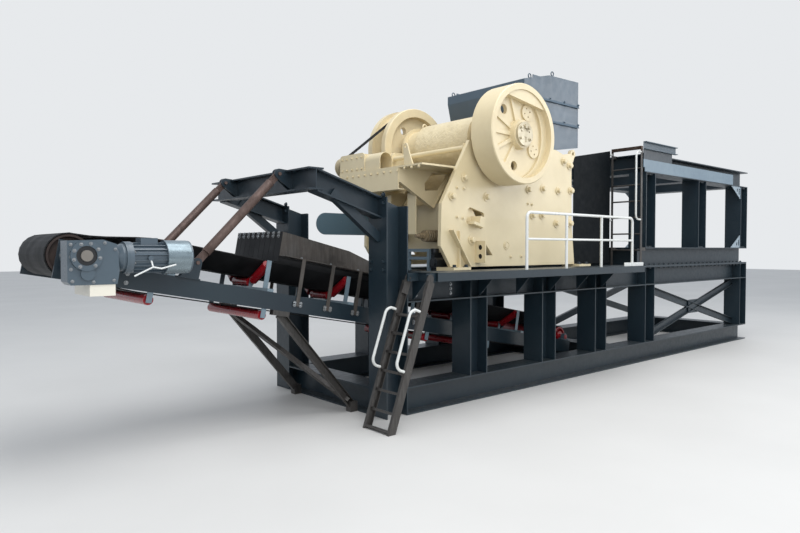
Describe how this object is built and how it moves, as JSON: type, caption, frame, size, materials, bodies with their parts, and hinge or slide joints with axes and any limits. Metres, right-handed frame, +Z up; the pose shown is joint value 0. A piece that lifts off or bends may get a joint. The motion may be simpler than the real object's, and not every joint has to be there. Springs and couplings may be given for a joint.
{
  "type": "jaw crusher plant",
  "caption": "Jaw crusher with two flywheels on a steel beam frame, with a discharge conveyor, walkway, ladders and a feeder support.",
  "frame": {"origin": "underside of the middle cross beam of the base frame, on the floor, midway along and across the base frame", "axes": "+X along the plant from the conveyor to the feeder support, +Y away from the walkway side, +Z up"},
  "size_m": [14.4249, 3.235, 4.96],
  "materials": {
    "slate_paint": "semi-gloss dark slate blue paint",
    "pale_slate_paint": "satin grey-blue paint",
    "white_paint": "gloss white paint on pipe",
    "bare_steel": "bare mill steel with brown dust",
    "rusty_steel": "pipe with a thin coat of rust",
    "roller_paint": "gloss red paint",
    "drum_lagging": "dull rubber lagging",
    "gear_paint": "satin blue-grey paint",
    "belt_rubber": "dull black rubber",
    "cream_paint": "semi-gloss cream paint on cast and welded steel",
    "red_spring": "brown-red primer",
    "jaw_steel": "cast manganese steel",
    "shaft_steel": "turned steel"
  },
  "bodies": {
    "plant": {"base_beams": "slate_paint", "columns": "slate_paint", "deck_beams": "slate_paint", "frame_braces": "slate_paint", "deck_plates": "pale_slate_paint", "walkway": "slate_paint", "handrail": "white_paint", "lower_ladder": "bare_steel", "grab_rails": "white_paint", "gantry": "slate_paint", "tie_rods": "rusty_steel", "upper_beams": "slate_paint", "upper_posts": "slate_paint", "feeder_plates": "pale_slate_paint", "upper_ladder": "bare_steel", "conveyor_stringers": "slate_paint", "raking_braces": "bare_steel", "idler_brackets": "pale_slate_paint", "carrying_rollers": "roller_paint", "return_rollers": "roller_paint", "tail_drum": "roller_paint", "drum_bearings": "gear_paint", "conveyor_belt": "belt_rubber", "skirt_plates": "bare_steel", "rubber_curtain": "belt_rubber", "gear_unit": "gear_paint", "drive_motor": "gear_paint", "side_plates": "cream_paint", "crusher_frame": "cream_paint", "jaw_plates": "jaw_steel", "pitman": "cream_paint", "bearing_housings": "cream_paint", "toggle_gear": "cream_paint", "tension_spring": "red_spring", "motor_shelf": "cream_paint", "shelf_boxes": "cream_paint", "drive_sheave": "shaft_steel", "v_belts": "belt_rubber", "grease_pipe": "cream_paint", "feed_hood": "pale_slate_paint", "transfer_chute": "slate_paint"},
    "flywheels": {"eccentric_shaft": "shaft_steel", "near_flywheel": "cream_paint", "far_flywheel": "cream_paint"},
    "head_drum_body": {"head_drum": "drum_lagging"}
  },
  "joints": [
    {"name": "flywheel_spin", "type": "hinge", "parent": "plant", "child": "flywheels", "pos_m": [-2.865, 0, 3.76], "axis": [0, 1, 0], "continuous": true},
    {"name": "head_drum_spin", "type": "hinge", "parent": "plant", "child": "head_drum_body", "pos_m": [-8.77034, 0, 2.02521], "axis": [0, 1, 0], "continuous": true}
  ]
}
